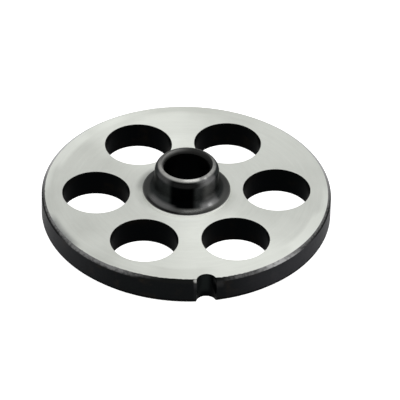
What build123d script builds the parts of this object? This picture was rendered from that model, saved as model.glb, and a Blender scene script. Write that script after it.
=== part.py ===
from build123d import *
from math import pi, radians, sin, tan
import os

# Meat grinder plate: a ground steel disc with a ring of large feed holes and an integral hub.
# Millimetres. The origin is on the bore axis in the flat underside, +Z runs up the bore
# towards the hub, and the keyway in the rim points along -Y.

# Disc
plate_radius = 49.2
plate_thickness = 9.5
rim_bevel_width = 1.15  # upper edge, measured across the face
rim_bevel_drop = 0.85  # upper edge, measured down the rim
rim_break = 1.2  # lower edge, 45 degrees

# Ring of feed holes
hole_count = 6
rim_land = 7.0  # metal left between a hole and the rim
hole_web = 7.7  # narrowest metal between neighbouring holes

# Keyway for the locating pin
key_radius = 3.35  # half-round bottom of the keyway
key_depth = 3.85  # from the rim to the bottom of the keyway
key_lead = 5.4  # degrees from the middle of the nearest web to the keyway

# Hub
bore_radius = 7.75
bore_break = 0.5  # edge of the bore at the underside, 45 degrees
hub_wall = 3.2
hub_height = 11.75  # above the upper face
crown_flat = 0.2  # what the rounded lip leaves flat, before the countersink takes it
countersink_width = 1.05
countersink_angle = 60  # included angle

# Root of the hub: a hollow flare that ends in a low step, where grinding of the face stopped
root_radius = 3.7
root_land = 0.3
root_step = 1.05

cutter_overrun = 1.0  # how far a cutter runs past the metal that it leaves

# Sizes that follow from those above
half_pitch_angle = pi / hole_count
pitch_radius = (plate_radius - rim_land + hole_web / 2) / (1 + sin(half_pitch_angle))
hole_radius = pitch_radius * sin(half_pitch_angle) - hole_web / 2
hub_radius = bore_radius + hub_wall
hub_top = plate_thickness + hub_height
crown_radius = hub_wall - crown_flat
flare_edge = hub_radius + root_radius
step_top = plate_thickness + root_step
countersink_slope = tan(radians(countersink_angle / 2))
countersink_depth = countersink_width / countersink_slope

upright = (Align.CENTER, Align.CENTER, Align.MIN)


def rim_outline():
    # From the bore's lower edge out along the underside, up the rim and in to the foot of the hub.
    Polyline(
        (bore_radius + bore_break, 0),
        (plate_radius - rim_break, 0),
        (plate_radius, rim_break),
        (plate_radius, plate_thickness - rim_bevel_drop),
        (plate_radius - rim_bevel_width, plate_thickness),
        (flare_edge + root_land, plate_thickness),
    )


def hub_outline():
    # Low step, hollow flare, straight wall and rounded lip, from the face up to the hub's top.
    Polyline(
        (flare_edge + root_land, plate_thickness),
        (flare_edge + root_land, step_top),
        (flare_edge, step_top),
    )
    CenterArc((flare_edge, step_top + root_radius), root_radius, 180, 90)
    Line((hub_radius, step_top + root_radius), (hub_radius, hub_top - crown_radius))
    CenterArc((hub_radius - crown_radius, hub_top - crown_radius), crown_radius, 0, 90)


def bore_outline():
    # From the lip down the bore to its broken edge at the underside.
    Polyline(
        (hub_radius - crown_radius, hub_top),
        (bore_radius, hub_top),
        (bore_radius, bore_break),
        (bore_radius + bore_break, 0),
    )


def turned_body():
    with BuildSketch(Plane.XZ) as section:
        with BuildLine():
            rim_outline()
            hub_outline()
            bore_outline()
        make_face()
    return revolve(section.sketch, Axis.Z)


def countersink():
    # A cone on the bore axis that opens the bore towards the lip and runs on past it.
    height = countersink_depth + cutter_overrun
    mouth_radius = bore_radius + height * countersink_slope
    return Pos(0, 0, hub_top - countersink_depth) * Cone(bore_radius, mouth_radius, height, align=upright)


def feed_holes():
    # The ring is turned so that the keyway stands key_lead past the middle of a web.
    first_hole = -90 - key_lead - 180 / hole_count
    height = plate_thickness + 2 * cutter_overrun
    drill = Pos(0, 0, -cutter_overrun) * Cylinder(hole_radius, height, align=upright)
    return [place * drill for place in PolarLocations(pitch_radius, hole_count, first_hole)]


def keyway():
    # A groove down the rim with a half-round bottom, open to the outside.
    height = plate_thickness + 2 * cutter_overrun
    mouth_depth = key_depth - key_radius + cutter_overrun
    bottom = Cylinder(key_radius, height, align=upright)
    mouth = Box(2 * key_radius, mouth_depth, height, align=(Align.CENTER, Align.MAX, Align.MIN))
    return Pos(0, key_depth - key_radius - plate_radius, -cutter_overrun) * (bottom + mouth)


grinder_plate = turned_body() - countersink() - feed_holes() - keyway()

os.makedirs("parts", exist_ok=True)
export_step(grinder_plate, "parts/grinder_plate.step")
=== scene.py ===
import bpy
import bmesh
from math import cos, pi, radians, sin, tan
from mathutils import Matrix, Vector


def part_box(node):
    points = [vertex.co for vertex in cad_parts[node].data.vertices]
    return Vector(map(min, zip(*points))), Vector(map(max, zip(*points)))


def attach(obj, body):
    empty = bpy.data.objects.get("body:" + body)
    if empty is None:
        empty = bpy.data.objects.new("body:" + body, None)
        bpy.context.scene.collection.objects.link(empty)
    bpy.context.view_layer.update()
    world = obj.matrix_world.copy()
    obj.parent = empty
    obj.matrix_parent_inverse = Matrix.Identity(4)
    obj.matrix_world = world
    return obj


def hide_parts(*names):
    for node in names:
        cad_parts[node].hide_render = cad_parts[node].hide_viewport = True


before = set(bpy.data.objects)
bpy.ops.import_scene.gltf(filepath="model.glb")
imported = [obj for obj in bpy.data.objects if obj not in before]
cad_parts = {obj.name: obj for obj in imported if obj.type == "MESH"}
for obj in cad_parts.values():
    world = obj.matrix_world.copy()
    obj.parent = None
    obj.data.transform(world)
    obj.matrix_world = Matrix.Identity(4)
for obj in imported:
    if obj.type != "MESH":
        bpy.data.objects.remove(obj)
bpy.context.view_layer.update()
nodeName = "grinder_plate"
mm = 0.001


def newObject(name, mesh):
    thing = bpy.data.objects.new(name, mesh)
    bpy.context.scene.collection.objects.link(thing)
    return thing


def meshFrom(bm, name):
    bmesh.ops.recalc_face_normals(bm, faces=bm.faces)
    mesh = bpy.data.meshes.new(name)
    bm.to_mesh(mesh)
    bm.free()
    return mesh


def finished(thing):
    # Swaps an object's mesh for what its modifiers make of it, and drops the modifiers.
    view = bpy.context.evaluated_depsgraph_get()
    solid = bpy.data.meshes.new_from_object(thing.evaluated_get(view), depsgraph=view)
    thing.modifiers.clear()
    thing.data = solid
    return thing


def addModifier(thing, kind, **settings):
    modifier = thing.modifiers.new(kind.lower(), kind)
    for name, value in settings.items():
        setattr(modifier, name, value)
    return modifier


class Wire:
    # A socket that works in sums: each operator adds a Math node.
    def __init__(self, nodes, socket):
        self.nodes = nodes
        self.socket = socket

    def math(self, operation, *others):
        inputs = dict(enumerate((self, *others)))
        return addNode(self.nodes, "ShaderNodeMath", {"operation": operation}, inputs)

    def __add__(self, other):
        return self.math("ADD", other)

    def __sub__(self, other):
        return self.math("SUBTRACT", other)

    def __rsub__(self, other):
        return self * -1 + other

    def __mul__(self, other):
        return self.math("MULTIPLY", other)

    def __truediv__(self, other):
        return self.math("DIVIDE", other)

    def __pow__(self, other):
        return self.math("POWER", other)

    __radd__ = __add__
    __rmul__ = __mul__

    def step(self, low, high, start=0):
        # A soft step: 0 at low, 1 at high, whichever of the two is larger, both counted from start.
        inputs = {"Value": self, "From Min": start + low, "From Max": start + high}
        return addNode(self.nodes, "ShaderNodeMapRange", {"interpolation_type": "SMOOTHSTEP"}, inputs)

    def scaled(self, low, high):
        # Stretches a value of 0 to 1 so that it runs from low to high.
        return self * (high - low) + low

    def swing(self, size):
        return self.scaled(-size, size)


def addNode(nodes, kind, settings=None, inputs=None, output=0):
    node = nodes.new(kind)
    for name, value in (settings or {}).items():
        setattr(node, name, value)
    for name, value in (inputs or {}).items():
        if isinstance(value, Wire):
            nodes.id_data.links.new(value.socket, node.inputs[name])
        else:
            node.inputs[name].default_value = value
    return Wire(nodes, node.outputs[output]) if node.outputs else None


def mixColors(factor, first, second):
    # The Mix node names its sockets alike for every kind of value; these numbers are the colour ones.
    factorSocket, firstSocket, secondSocket, colorResult = 0, 6, 7, 2
    inputs = {factorSocket: factor, firstSocket: first, secondSocket: second}
    return addNode(factor.nodes, "ShaderNodeMix", {"data_type": "RGBA"}, inputs, colorResult)


def newMaterial(name):
    material = bpy.data.materials.new(name)
    material.use_nodes = True
    material.node_tree.nodes.clear()
    return material


plate = {
    "thickness": 9.5 * mm,
    "rimBevelWidth": 1.15 * mm,
    "rimBevelDrop": 0.85 * mm,
    "lowerBevel": 1.2 * mm,
    "holeCount": 6,
    "holeRadius": 11.5 * mm,
    "pitchRadius": 30.7 * mm,
    "firstHole": radians(-125.4),
    "keyRadius": 3.35 * mm,
    "keyDepth": 3.85 * mm,
    "boreRadius": 7.75 * mm,
    "boreBevel": 0.5 * mm,
    "hubRadius": 10.95 * mm,
    "hubCorner": 21.25 * mm,
    "crownRadius": 3.0 * mm,
    "flareRadius": 3.7 * mm,
    "footRadius": 14.95 * mm,
    "footStep": 1.05 * mm,
    "sinkWidth": 1.05 * mm,
    "sinkHalfAngle": radians(30),
    "edgeBreak": 0.1 * mm,
    "sharpEdge": radians(35),
    "flatJoin": radians(0.1),
    "turnSteps": 256,
    "holeSteps": 128,
    "keySteps": 64,
    "roundSteps": 14,
    "breakSteps": 3,
    "overrun": 2 * mm,
    "turnWeld": 0.001 * mm,
    "cutWeld": 0.002 * mm,
    "planeReach": 0.0001 * mm,
}


def plateProfile(bm, rimRadius):
    # Half section with sharp corners, in the XZ plane, then its two large corners rounded.
    p = plate
    top, foot = p["thickness"], p["thickness"] + p["footStep"]
    corners = [
        (p["boreRadius"] + p["boreBevel"], 0),
        (rimRadius - p["lowerBevel"], 0),
        (rimRadius, p["lowerBevel"]),
        (rimRadius, top - p["rimBevelDrop"]),
        (rimRadius - p["rimBevelWidth"], top),
        (p["footRadius"], top),
        (p["footRadius"], foot),
        (p["hubRadius"], foot),
        (p["hubRadius"], p["hubCorner"]),
        (p["boreRadius"], p["hubCorner"]),
        (p["boreRadius"], p["boreBevel"]),
    ]
    verts = [bm.verts.new((x, 0, z)) for x, z in corners]
    for first, second in zip(verts, verts[1:] + verts[:1]):
        bm.edges.new((first, second))
    root = verts[corners.index((p["hubRadius"], foot))]
    crown = verts[corners.index((p["hubRadius"], p["hubCorner"]))]
    rounds = ((root, p["flareRadius"], p["roundSteps"]), (crown, p["crownRadius"], p["roundSteps"]))
    breaks = [(vert, p["edgeBreak"], p["breakSteps"]) for vert in verts if vert not in (root, crown)]
    for vert, size, segments in (*rounds, *breaks):
        bmesh.ops.bevel(bm, geom=[vert], offset=size, offset_type="OFFSET", segments=segments,
                        profile=0.5, affect="VERTICES", material=-1, clamp_overlap=False)


def turnedBlank(rimRadius):
    bm = bmesh.new()
    plateProfile(bm, rimRadius)
    bmesh.ops.spin(bm, geom=bm.verts[:] + bm.edges[:], cent=(0, 0, 0), axis=(0, 0, 1), angle=2 * pi,
                   steps=plate["turnSteps"], use_merge=True)
    bmesh.ops.remove_doubles(bm, verts=bm.verts, dist=plate["turnWeld"])
    return newObject("plateBody", meshFrom(bm, "plateBody"))


def addCylinder(bm, radius, topRadius, low, high, steps, place=Matrix()):
    middle = place @ Matrix.Translation((0, 0, (low + high) / 2))
    made = bmesh.ops.create_cone(bm, cap_ends=True, segments=steps, radius1=radius, radius2=topRadius,
                                 depth=high - low, matrix=middle)
    return made["verts"]


def cutters(rimRadius):
    # The drills, the countersink and the keyway cutter, none of which meets another. The keyway's is
    # a cylinder whose outer half is cut away and whose open side is drawn out past the rim.
    p = plate
    low, high = -p["overrun"], p["thickness"] + p["overrun"]
    bm = bmesh.new()
    keyPlace = Vector((0, p["keyDepth"] - p["keyRadius"] - rimRadius, 0))
    addCylinder(bm, p["keyRadius"], p["keyRadius"], low, high, p["keySteps"], Matrix.Translation(keyPlace))
    bmesh.ops.bisect_plane(bm, geom=bm.verts[:] + bm.edges[:] + bm.faces[:], plane_co=keyPlace,
                           plane_no=(0, -1, 0), clear_outer=True, dist=p["planeReach"])
    openEdges = [edge for edge in bm.edges if edge.is_boundary]
    mouth = bmesh.ops.contextual_create(bm, geom=openEdges)["faces"]
    grown = bmesh.ops.extrude_face_region(bm, geom=mouth)["geom"]
    bmesh.ops.delete(bm, geom=mouth, context="FACES_ONLY")
    grownVerts = [part for part in grown if isinstance(part, bmesh.types.BMVert)]
    bmesh.ops.translate(bm, verts=grownVerts, vec=(0, -p["overrun"], 0))
    for index in range(p["holeCount"]):
        turn = Matrix.Rotation(p["firstHole"] + index * 2 * pi / p["holeCount"], 4, "Z")
        addCylinder(bm, p["holeRadius"], p["holeRadius"], low, high, p["holeSteps"],
                    turn @ Matrix.Translation((p["pitchRadius"], 0, 0)))
    sinkLow = p["hubCorner"] - p["sinkWidth"] / tan(p["sinkHalfAngle"])
    sinkHigh = p["hubCorner"] + p["overrun"]
    mouthRadius = p["boreRadius"] + (sinkHigh - sinkLow) * tan(p["sinkHalfAngle"])
    addCylinder(bm, p["boreRadius"], mouthRadius, sinkLow, sinkHigh, p["turnSteps"])
    return newObject("cutters", meshFrom(bm, "cutters"))


def buildPlate():
    low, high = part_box(nodeName)
    rimRadius = min(high.x, -low.x)
    p = plate
    body = turnedBlank(rimRadius)
    tool = cutters(rimRadius)
    addModifier(body, "BOOLEAN", object=tool, operation="DIFFERENCE", solver="EXACT")
    finished(body)
    bpy.data.objects.remove(tool)
    bm = bmesh.new()
    bm.from_mesh(body.data)
    bmesh.ops.remove_doubles(bm, verts=bm.verts, dist=p["cutWeld"])
    bmesh.ops.dissolve_limit(bm, angle_limit=p["flatJoin"], verts=bm.verts, edges=bm.edges)
    bm.to_mesh(body.data)
    bm.free()
    addModifier(body, "BEVEL", width=p["edgeBreak"], segments=p["breakSteps"], limit_method="ANGLE",
                angle_limit=p["sharpEdge"], profile=0.5, use_clamp_overlap=False, harden_normals=False)
    finished(body)
    body.data.shade_smooth()
    addModifier(body, "WEIGHTED_NORMAL", mode="FACE_AREA", keep_sharp=True)
    finished(body)
    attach(body, "root")
    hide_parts(nodeName)
    return body


body = buildPlate()
print("plate", len(body.data.vertices), "vertices", len(body.data.polygons), "faces")


# A mark is placed "at" so many degrees from the keyway. Its "spread" says within how many degrees of
# there it starts and is full; a broad mark's "facing" says so on the scale of towards. "across" gives
# radii, "rise" and "fall" heights, in millimetres, between which it comes in or goes out.
finish = {
    "arcs": {
        "grooves": {"along": 5, "across": 2.6, "scale": 3, "detail": 4, "roughness": 0.7},
        "bands": {"along": 2.4, "across": 0.9, "scale": 1, "detail": 4, "roughness": 0.75},
        "turning": {"along": 1.6, "across": 2.2, "scale": 1, "detail": 4, "roughness": 0.65},
    },
    "noises": {
        "mottle": {"scale": 0.16, "detail": 4, "roughness": 0.6},
        "blotch": {"scale": 0.055, "detail": 2, "roughness": 0.5},
        "grain": {"scale": 2.2, "detail": 3, "roughness": 0.6},
        "chips": {"scale": 0.8, "detail": 3, "roughness": 0.6},
        "speckle": {"scale": 0.5, "detail": 4, "roughness": 0.7},
    },
    "faceSkin": (-0.09, -0.02),
    "faceStart": (12, 13),
    "faceEnd": (0, 0.15),
    "underSkin": (0.02, 0.09),
    "footLine": (-0.1, 0.02),
    "boreLine": (0.02, 0.06),
    "mouthLine": (-0.1, 0),
    "crestStart": (-0.1, 0.05),
    "crestEnd": (9.5, 10.15),
    "crestRise": (-2.2, -1.2),
    "bevelRise": (-0.1, 0),
    "bevelStart": (-1.2, -1),
    "insideEnd": (-4, -3),
    "rimStart": (-0.7, -0.3),
    "rimFoot": (1.8, 2.8),
    "edgeCreeps": (
        {"at": -19, "facing": (0.92, 0.99), "amount": 0.3},
        {"at": 57, "facing": (0.6, 0.95), "amount": -0.25},
        {"at": 13, "facing": (0.93, 0.98), "amount": 0.15},
    ),
    "cornerCreep": {"reach": (0.5, 2.4), "amount": 0.35},
    "edgeWobble": 0.35,
    "groundLight": (0.825, 0.845, 0.8, 1),
    "groundDull": (0.605, 0.62, 0.58, 1),
    "groundDarkest": (0.3, 0.31, 0.3, 1),
    "groundTone": 0.5,
    "groundBands": 0.25,
    "groundClouds": (("blotch", (0.5, 0.75), 0.15), ("mottle", (0.5, 0.8), 0.1)),
    # painted highlights and painted shade on the ground face
    "groundHighlightsAndShade": (
        {"at": 54, "spread": (17, 6), "across": (43.6, 45.3), "amount": 0.5},
        {"at": 69, "spread": (20, 6), "across": (45.2, 47.3), "amount": 0.4},
        {"at": 78, "spread": (72, 30), "across": (15, 19), "amount": 0.13},
        {"at": -127, "spread": (16, 6), "across": (43.3, 45), "amount": 0.45},
        {"at": -111, "spread": (16, 5), "across": (45.6, 47.3), "amount": 0.4},
        {"at": -159, "spread": (18, 5), "across": (44, 46), "amount": 0.25},
        {"at": 178, "spread": (24, 8), "across": (43.5, 46), "amount": -0.45},
        {"at": 156, "spread": (20, 6), "across": (40, 44), "amount": -0.2},
        {"at": 171, "spread": (34, 10), "across": (34, 27), "amount": 0.35},
        {"at": -10, "spread": (17, 5), "across": (41, 43.5), "amount": -0.3},
        {"at": -42, "spread": (24, 8), "across": (44.5, 47), "amount": -0.15},
        {"at": -9, "spread": (40, 12), "across": (33, 20), "amount": 0.25},
        {"at": -2, "spread": (64, 40), "across": (21, 17), "amount": 0.05},
        {"at": -104, "spread": (50, 20), "across": (18.5, 15), "amount": -0.35},
        {"at": 57, "spread": (32, 10), "across": (18.5, 15), "amount": -0.3},
        {"at": -124, "spread": (32, 12), "across": (17.8, 15.2), "amount": -0.4},
    ),
    # a darker patch near the rim, and painted shadow at the hub's foot
    "groundDarkAndShadow": (
        {"at": -69, "spread": (14, 3), "across": (45.2, 48.4), "amount": 0.95},
        {"at": -124, "spread": (30, 8), "across": (18.1, 15.2), "amount": 0.6},
    ),
    "darkBreakup": (0.7, 1.3),
    "darkSpots": ((-36.6, -16.3, 9), (-30.1, 27.8, 8), (-24, 19, 8), (-31.6, -32.8, 9)),
    "darkSpotDepth": 0.25,
    # painted highlight on the front of the foot's step wall
    "footStep": (0.92, 0.93, 0.89, 1),
    "footStepRise": (0.02, 0.1),
    "footStepLitSide": {"at": 0, "facing": (0.3, 0.9)},
    "groundMetal": (0.45, 0.85),
    "groundMetalRise": (15, 23),
    "groundRoughness": 0.62,
    "grooveSwing": 0.05,
    "oxideBlue": (0.0008, 0.0011, 0.0013, 1),
    "oxideBrown": (0.003, 0.0024, 0.0018, 1),
    "oxideMottle": (0.5, 0.72),
    "oxideRoughness": 0.4,
    "grainSwing": 0.05,
    "oxideSheenLevel": 0.02,
    "insideMetal": 0.5,
    "rimBlue": (0.0055, 0.0063, 0.0067, 1),
    "rimBrown": (0.013, 0.011, 0.009, 1),
    # painted sheen towards the rim's sides
    "rimSheen": (0.035, 0.035, 0.039, 1),
    "rimSheenSides": (
        {"at": 60, "facing": (0.55, 0.98), "amount": 0.75},
        {"at": -110, "facing": (0.2, 0.9), "amount": 0.4},
    ),
    "rimBreakup": (0.6, 1.4),
    "bevelDark": (0.007, 0.0075, 0.0072, 1),
    # partly rubbed-through steel, partly painted highlights
    "bevelWearAndGlints": (
        {"at": -62, "spread": (46, 14), "rise": (8.75, 9.35), "fall": (9.6, 9.7), "grey": 0.17},
        {"at": -48, "spread": (22, 7), "rise": (8.3, 9.1), "fall": (9.6, 9.7), "grey": 0.17},
        {"at": 31, "spread": (26, 8), "rise": (8.2, 8.9), "fall": (9.6, 9.7), "grey": 0.1},
        {"at": 33, "spread": (13, 4), "rise": (8.2, 8.8), "fall": (9.6, 9.7), "grey": 0.25},
        {"at": 62, "spread": (32, 10), "rise": (8.7, 9.3), "fall": (9.6, 9.7), "grey": 0.14},
    ),
    "bevelChips": (0.35, 0.65),
    "bevelBreakup": (0.45, 1.3),
    "bevelBright": (
        {"at": 171, "spread": (100, 62), "rise": (8.2, 8.9), "fall": (9.6, 9.7), "grey": 0.5},
    ),
    "brightBreakup": (0.7, 1.1),
    # painted glint on the rim beside the keyway
    "keyShoulderGlint": (
        {"at": 5, "spread": (2.2, 0.5), "rise": (5.5, 7.8), "fall": (8.3, 9.1), "grey": 0.022},
    ),
    "shoulderGlintBreakup": (0.7, 1.3),
    # painted light on the keyway's left wall
    "keyWall": (0.0075, 0.0092, 0.009, 1),
    "keyWallDepth": (0.05, 0.15),
    "keyWallSide": (0.5, 2.3),
    "keyWallRise": (1, 3.6),
    "keyWallFall": (8.6, 9.3),
    # painted highlight on the keyway's left edge, and painted glint at its corner
    "keyEdge": (0.3, 0.3, 0.3, 1),
    "keyEdgeOffset": (0.45, 0.15),
    "keyEdgeWidth": (0.2, 0.9),
    "keyEdgeRise": (5.5, 8.6),
    "keyEdgeGlint": (0.015, 0.08),
    "keyTipGlint": (0.3, 0.3, 0.285, 1),
    "keyTipOffset": (0.35, 0.85, 0.2),
    "keyTipWidth": (0.25, 1),
    # painted shade on the hub's front, painted sheen on its sides
    "hubFrontShade": (0.0005, 0.0006, 0.0007, 1),
    "hubFrontShadeSide": {"at": -16, "facing": (0.891, 0.961)},
    "hubSideSheen": (0.021, 0.023, 0.023, 1),
    # partly turned steel, partly a painted highlight in front
    "hubRoot": (0.07, 0.071, 0.068, 1),
    "hubRootFall": (0.3, 1.05),
    "hubRootLitSide": {"at": 5, "facing": (-0.2, 0.8)},
    "hubRootShare": (0.5, 1),
    # painted highlights on the hub, and two like patches at the back
    "hubGlintsAndRubs": (
        {"at": -53, "spread": (31, 8), "rise": (10.65, 10.85), "fall": (11.0, 12.2), "grey": 0.1},
        {"at": -50, "spread": (36, 22), "rise": (10.0, 10.1), "fall": (10.6, 10.72), "grey": 0.018},
        {"at": 33, "spread": (22, 7), "rise": (10.7, 11.1), "fall": (11.4, 12.9), "grey": 0.17},
        {"at": 37, "spread": (20, 6), "rise": (11.0, 13.5), "fall": (19.0, 21.0), "grey": 0.07},
        {"at": -59, "spread": (24, 7), "rise": (18.4, 19.8), "fall": (20.2, 20.8), "grey": 0.05},
        {"at": 33, "spread": (26, 8), "rise": (17.8, 19.4), "fall": (20.2, 20.8), "grey": 0.12},
        {"at": -10, "spread": (42, 13), "rise": (18.3, 19.2), "fall": (19.8, 20.6), "grey": 0.009},
        {"at": 152, "spread": (34, 10), "rise": (10.7, 11.1), "fall": (11.3, 12.7), "grey": 0.08},
        {"at": -148, "spread": (26, 8), "rise": (18.2, 19.6), "fall": (20.2, 20.8), "grey": 0.06},
    ),
    "hubBreakup": (0.4, 1.6),
    "hubRoughness": 0.3,
    "turningSwing": 0.1,
    "countersink": (0.03, 0.03, 0.029, 1),
    "countersinkLit": (0.24, 0.24, 0.232, 1),
    "countersinkLitSide": {"at": -104, "facing": (-0.2, 0.9)},
    "countersinkRise": (-1.6, -0.3),
    "countersinkDull": 0.7,
    # painted highlight on the crest in front
    "lipDull": (0.035, 0.035, 0.034, 1),
    "lipSteel": (0.35, 0.35, 0.335, 1),
    "lipShineSide": {"at": -6, "facing": (-1.2, 1)},
    "lipShade": {"at": 31, "spread": (14, 4), "amount": 0.4},
    "lipBreakup": (0.4, 1.6),
    "grooveHeight": 0.5,
    "grainHeight": 0.6,
    "turningHeight": 1.4,
    "bumpStrength": 0.12,
    "bumpDistance": 0.02 * mm,
    "edgeTint": (0.5, 0.5, 0.5, 1),
    "anisotropy": 0.87,
    "anisotropyTurn": 0.25,
}


def finishPlate(material):
    # Works in millimetres. Most limits are counted from the edge that they belong to.
    f, top = finish, plate["thickness"] / mm
    footTop = top + plate["footStep"] / mm
    hubTop = plate["hubCorner"] / mm
    bore, mouthEdge = plate["boreRadius"] / mm, (plate["boreRadius"] + plate["sinkWidth"]) / mm
    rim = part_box(nodeName)[1].x / mm
    bevelLow, bevelIn = top - plate["rimBevelDrop"] / mm, rim - plate["rimBevelWidth"] / mm
    keyHalf = plate["keyRadius"] / mm
    keyAxis = (0, plate["keyDepth"] / mm - keyHalf - rim, 0)
    edgeOut, edgeIn = f["keyEdgeOffset"]
    keyLeft, keyRight = (-keyHalf - edgeOut, edgeIn - rim, 0), (keyHalf, edgeIn - rim, 0)
    tipOut, tipIn, tipDown = f["keyTipOffset"]
    keyTipGlint = (-keyHalf - tipOut, tipIn - rim, top - tipDown)
    nodes = material.node_tree.nodes

    def node(kind, settings=None, inputs=None, output=0):
        return addNode(nodes, kind, settings, inputs, output)

    def noise(vector, pattern):
        return node("ShaderNodeTexNoise", {"noise_dimensions": "3D"},
                    {"Vector": vector, "Scale": pattern["scale"], "Detail": pattern["detail"],
                     "Roughness": pattern["roughness"]})

    place = node("ShaderNodeTexCoord", output="Object")
    millimetres = node("ShaderNodeVectorMath", {"operation": "SCALE"}, {"Vector": place, "Scale": 1 / mm})
    x = node("ShaderNodeSeparateXYZ", inputs={"Vector": millimetres}, output="X")
    y = node("ShaderNodeSeparateXYZ", inputs={"Vector": millimetres}, output="Y")
    z = node("ShaderNodeSeparateXYZ", inputs={"Vector": millimetres}, output="Z")
    r = (x * x + y * y) ** 0.5
    level = node("ShaderNodeCombineXYZ", inputs={"X": x, "Y": y, "Z": 0.0})

    def arcs(name, depth):
        # Long arcs round the axis, left by grinding and turning.
        pattern = f["arcs"][name]
        along, across = pattern["along"], pattern["across"]
        ring = {"X": x / r * along, "Y": y / r * along, "Z": depth * across}
        return noise(node("ShaderNodeCombineXYZ", inputs=ring), pattern)

    grooves, bands, turning = arcs("grooves", r), arcs("bands", r), arcs("turning", z + r)
    noises = {name: noise(millimetres, pattern) for name, pattern in f["noises"].items()}
    mottle, grain, chips, speckle = (noises[name] for name in ("mottle", "grain", "chips", "speckle"))

    def towards(degrees):
        # 1 on the side that faces this way from the axis, and -1 opposite; counted from the keyway.
        return (x * sin(radians(degrees)) - y * cos(radians(degrees))) / r

    def side(mark):
        # A broad change round the axis, with its limits on the scale of towards.
        return towards(mark["at"]).step(*mark["facing"])

    def patch(mark):
        # 1 within the inner angle of the mark's middle and 0 beyond the outer one.
        outer, inner = mark["spread"]
        return towards(mark["at"]).step(cos(radians(outer)), cos(radians(inner)))

    def apart(spot, other):
        return node("ShaderNodeVectorMath", {"operation": "DISTANCE"}, {0: spot, 1: other}, "Value")

    def near(spot, other, limits, start=0):
        return 1 - apart(spot, other).step(*limits, start)

    def greyPatched(color, greyMarks, breakup):
        # Lays soft grey patches over a colour, each round one side and between two heights: wear on the
        # bevel, and painted highlights and glints elsewhere.
        for greyMark in greyMarks:
            spot = patch(greyMark) * z.step(*greyMark["rise"]) * (1 - z.step(*greyMark["fall"])) * breakup
            color = mixColors(spot, color, (greyMark["grey"], greyMark["grey"], greyMark["grey"], 1))
        return color

    # Where each finish lies: ground faces, turned hub with its steel crest, black oxide everywhere else.
    # The upper face ends at the rim's bevel, in a line that creeps in and out.
    aboveFoot = z.step(*f["footLine"], footTop)
    creep = r + chips.swing(f["edgeWobble"])
    for mark in f["edgeCreeps"]:
        creep = creep + side(mark) * mark["amount"]
    creep = creep + near(level, keyRight, f["cornerCreep"]["reach"]) * f["cornerCreep"]["amount"]
    faceUp = z.step(*f["faceSkin"], top) * (1 - aboveFoot) * r.step(*f["faceStart"])
    faceUp = faceUp * (1 - creep.step(*f["faceEnd"], bevelIn))
    faceDown = 1 - z.step(*f["underSkin"])
    ground = faceUp + faceDown
    hub = aboveFoot * r.step(*f["boreLine"], bore)
    mouth = 1 - r.step(*f["mouthLine"], mouthEdge)
    crest = r.step(*f["crestStart"], mouthEdge) * (1 - r.step(*f["crestEnd"]))
    crest = crest * z.step(*f["crestRise"], hubTop)
    bevel = z.step(*f["bevelRise"], bevelLow) * r.step(*f["bevelStart"], bevelIn) * (1 - faceUp)
    inside = (1 - r.step(*f["insideEnd"], rim)) * (1 - ground) * (1 - hub)

    tone = f["groundTone"] - bands.swing(f["groundBands"])
    for name, limits, amount in f["groundClouds"]:
        tone = tone - noises[name].step(*limits) * amount
    # Painted highlights and painted shade: the face is lighter where it reflects the lamps, and darker
    # round the hub's foot and in places near the rim.
    for mark in f["groundHighlightsAndShade"]:
        tone = tone + patch(mark) * r.step(*mark["across"]) * mark["amount"]
    # Round darker spots on the face's left half.
    for spotX, spotY, spread in f["darkSpots"]:
        tone = tone - near(millimetres, (spotX, spotY, top), (0, spread)) * f["darkSpotDepth"]
    steel = mixColors(tone, f["groundDull"], f["groundLight"])
    # Darker patches: one near the rim on the left, and a painted shadow beside the hub's foot at the back
    # left.
    for darkMark in f["groundDarkAndShadow"]:
        darkened = patch(darkMark) * r.step(*darkMark["across"]) * chips.scaled(*f["darkBreakup"]) * darkMark["amount"]
        steel = mixColors(darkened, steel, f["groundDarkest"])
    # Painted highlight: the foot's step wall is made light in front and left dark at the sides.
    stepLit = z.step(*f["footStepRise"], top) * side(f["footStepLitSide"])
    steel = mixColors(stepLit, steel, f["footStep"])

    # Black oxide, thin on the rim and lightened towards the rim's sides by a painted sheen, with grey
    # patches on the rim's bevel, partly rubbed-through steel and partly painted highlights.
    brown = mottle.step(*f["oxideMottle"])
    oxide = mixColors(brown, f["oxideBlue"], f["oxideBrown"])
    rimOxide = mixColors(brown, f["rimBlue"], f["rimBrown"])
    rimSheenMask = sum(side(mark) * mark["amount"] for mark in f["rimSheenSides"])
    rimOxide = mixColors(rimSheenMask * speckle.scaled(*f["rimBreakup"]), rimOxide, f["rimSheen"])
    oxide = mixColors(r.step(*f["rimStart"], rim) * (z + chips).step(*f["rimFoot"]), oxide, rimOxide)
    # Grey patches on the bevel, partly worn steel and partly painted highlights, with a painted glint on
    # the right front.
    chipped = chips.step(*f["bevelChips"]).scaled(*f["bevelBreakup"])
    edge = greyPatched(f["bevelDark"], f["bevelWearAndGlints"], chipped)
    edge = greyPatched(edge, f["bevelBright"], mottle.scaled(*f["brightBreakup"]))
    oxide = mixColors(bevel, oxide, edge)

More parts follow.
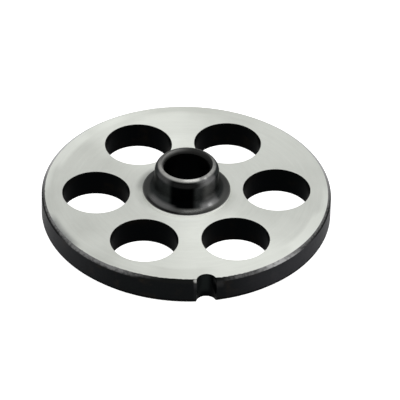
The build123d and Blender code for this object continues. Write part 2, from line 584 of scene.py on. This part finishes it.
    # The keyway: its wall painted lighter on the left as if lit there, a painted glint on the rim at its
    # right corner, a painted highlight down its left edge and a painted glint at its top left corner.
    oxide = greyPatched(oxide, f["keyShoulderGlint"], chips.scaled(*f["shoulderGlintBreakup"]))
    keyLit = near(level, keyAxis, f["keyWallDepth"], keyHalf) * (1 - x.step(*f["keyWallSide"]))
    keyLit = keyLit * z.step(*f["keyWallRise"]) * (1 - z.step(*f["keyWallFall"]))
    oxide = mixColors(keyLit, oxide, f["keyWall"])
    edgeGlint = near(level, keyLeft, f["keyEdgeWidth"]) * z.step(*f["keyEdgeRise"]).scaled(*f["keyEdgeGlint"])
    oxide = mixColors(edgeGlint, oxide, f["keyEdge"])
    oxide = mixColors(near(millimetres, keyTipGlint, f["keyTipWidth"]), oxide, f["keyTipGlint"])

    # The hub: painted shade makes it nearly black in front and a painted sheen greyer at the sides; it is
    # greyer round its root, with grey patches painted where highlights fall.
    turned = mixColors(side(f["hubFrontShadeSide"]), f["hubSideSheen"], f["hubFrontShade"])
    # A grey band round the hub's root, partly turned steel and partly a painted highlight, strongest in
    # front.
    rootBand = 1 - z.step(*f["hubRootFall"], footTop)
    rootBand = rootBand * side(f["hubRootLitSide"]).scaled(*f["hubRootShare"])
    turned = mixColors(rootBand, turned, f["hubRoot"])
    # Grey patches painted where highlights fall on the hub's flare, wall and crown, with two more at the
    # back.
    turned = greyPatched(turned, f["hubGlintsAndRubs"], speckle.scaled(*f["hubBreakup"]))
    # Painted light on the countersink's left.
    sunkLit = side(f["countersinkLitSide"]) * z.step(*f["countersinkRise"], hubTop)
    turned = mixColors(mouth, turned, mixColors(sunkLit, f["countersink"], f["countersinkLit"]))
    # The crest: steel painted bright in front as a highlight, dull behind, and dimmed on the right.
    lipShine = side(f["lipShineSide"]) * speckle.scaled(*f["lipBreakup"])
    lipShine = lipShine * (1 - patch(f["lipShade"]) * f["lipShade"]["amount"])
    turned = mixColors(crest, turned, mixColors(lipShine, f["lipDull"], f["lipSteel"]))

    color = mixColors(ground, mixColors(hub, oxide, turned), steel)
    groundMetal = r.step(*f["groundMetalRise"]).scaled(*f["groundMetal"])
    metal = hub * (1 - mouth * f["countersinkDull"]) + ground * groundMetal
    metal = metal + bevel + inside * f["insideMetal"]
    hubRough = turning.swing(f["turningSwing"]) + (f["hubRoughness"] - f["oxideRoughness"])
    groundRough = grooves.swing(f["grooveSwing"]) + (f["groundRoughness"] - f["oxideRoughness"])
    rough = grain.swing(f["grainSwing"]) + f["oxideRoughness"] + hub * hubRough + ground * groundRough

    height = grooves * ground * f["grooveHeight"] + grain * (1 - ground) * f["grainHeight"]
    height = height + turning * hub * f["turningHeight"]
    bump = node("ShaderNodeBump", inputs={
        "Strength": f["bumpStrength"], "Distance": f["bumpDistance"], "Height": height})
    surface = node("ShaderNodeBsdfPrincipled", inputs={
        "Base Color": color, "Metallic": metal, "Roughness": rough, "Normal": bump,
        "Specular IOR Level": f["oxideSheenLevel"], "Specular Tint": f["edgeTint"],
        "Anisotropic": f["anisotropy"], "Anisotropic Rotation": f["anisotropyTurn"]})
    node("ShaderNodeOutputMaterial", inputs={"Surface": surface})


plateSteel = newMaterial("plateSteel")
finishPlate(plateSteel)
body.data.materials.clear()
body.data.materials.append(plateSteel)
print("finish", len(plateSteel.node_tree.nodes), "nodes")


studio = {
    "floorSize": 6.0,
    "floorSteps": 96,
    "floorDrop": 0.05 * mm,
    "floorColor": (0.8, 0.8, 0.8, 1),
    "floorGlow": 0.9,
    "worldLevel": 0.82,
    "lamps": {
        "overheadBox": {"azimuth": 90, "elevation": 82, "distance": 0.36,
                        "width": 0.08, "depth": 0.16, "power": 0.16},
        "rightBox": {"azimuth": 93, "elevation": 50, "distance": 0.9,
                     "width": 0.14, "depth": 0.14, "power": 0.55},
    },
    "cameraAzimuth": radians(-8.9),
    "cameraElevation": 0.6592971,
    "cameraRoll": 0.0231352,
    "cameraDistance": 1513.392 * mm,
    "cameraSideways": 4.6002 * mm,
    "cameraUpwards": -3.08976 * mm,
    "cameraLens": 401.0,
    "cameraSensor": 36.0,
}


def whiteWhereSeen(nodes):
    # 1 for the camera and for reflections, 0 for the light that falls on things.
    seen = addNode(nodes, "ShaderNodeLightPath", output="Is Camera Ray")
    mirrored = addNode(nodes, "ShaderNodeLightPath", output="Is Glossy Ray")
    through = addNode(nodes, "ShaderNodeLightPath", output="Is Transmission Ray")
    return seen.math("MAXIMUM", mirrored).math("MAXIMUM", through)


def makeFloor():
    s = studio
    bm = bmesh.new()
    bmesh.ops.create_circle(bm, cap_ends=True, radius=s["floorSize"] / 2, segments=s["floorSteps"])
    bmesh.ops.translate(bm, verts=bm.verts, vec=(0, 0, -s["floorDrop"]))
    floor = newObject("floor", meshFrom(bm, "floor"))
    material = newMaterial("paleFloor")
    nodes = material.node_tree.nodes
    diffuse = addNode(nodes, "ShaderNodeBsdfDiffuse", inputs={"Color": s["floorColor"]})
    seen = whiteWhereSeen(nodes)
    glow = addNode(nodes, "ShaderNodeEmission",
                   inputs={"Color": (1, 1, 1, 1), "Strength": seen * s["floorGlow"]})
    both = addNode(nodes, "ShaderNodeAddShader", inputs={0: diffuse, 1: glow})
    addNode(nodes, "ShaderNodeOutputMaterial", inputs={"Surface": both})
    floor.data.materials.append(material)


def makeWorld():
    world = bpy.data.worlds.new("studio")
    world.use_nodes = True
    world.node_tree.nodes.clear()
    nodes = world.node_tree.nodes
    level = whiteWhereSeen(nodes).scaled(studio["worldLevel"], 1.0)
    sky = addNode(nodes, "ShaderNodeBackground", inputs={"Color": (1, 1, 1, 1), "Strength": level})
    addNode(nodes, "ShaderNodeOutputWorld", inputs={"Surface": sky})
    bpy.context.scene.world = world


def directionOf(azimuth, elevation):
    # From the plate towards a place: azimuth 0 is in front of it, and turns as the camera's does.
    return Vector((sin(azimuth) * cos(elevation), -cos(azimuth) * cos(elevation), sin(elevation)))


def makeLamps():
    for name, lamp in studio["lamps"].items():
        data = bpy.data.lights.new(name, "AREA")
        data.shape = "RECTANGLE"
        data.size, data.size_y, data.energy = lamp["width"], lamp["depth"], lamp["power"]
        thing = newObject(name, data)
        azimuth = studio["cameraAzimuth"] + radians(lamp["azimuth"])
        away = directionOf(azimuth, radians(lamp["elevation"]))
        thing.location = away * lamp["distance"]
        thing.rotation_euler = away.to_track_quat("Z", "Y").to_euler()


def makeCamera():
    s = studio
    back = directionOf(s["cameraAzimuth"], s["cameraElevation"])
    frameTurn = back.to_track_quat("Z", "Y").to_matrix() @ Matrix.Rotation(s["cameraRoll"], 3, "Z")
    data = bpy.data.cameras.new("camera")
    data.lens, data.sensor_width = s["cameraLens"], s["cameraSensor"]
    camera = newObject("camera", data)
    offset = Vector((s["cameraSideways"], s["cameraUpwards"], s["cameraDistance"]))
    camera.location = Vector((0, 0, plate["thickness"])) + frameTurn @ offset
    camera.rotation_euler = frameTurn.to_euler()
    bpy.context.scene.camera = camera


makeFloor()
makeWorld()
makeLamps()
makeCamera()
bpy.context.scene.view_settings.view_transform = "Standard"
print("studio ready")
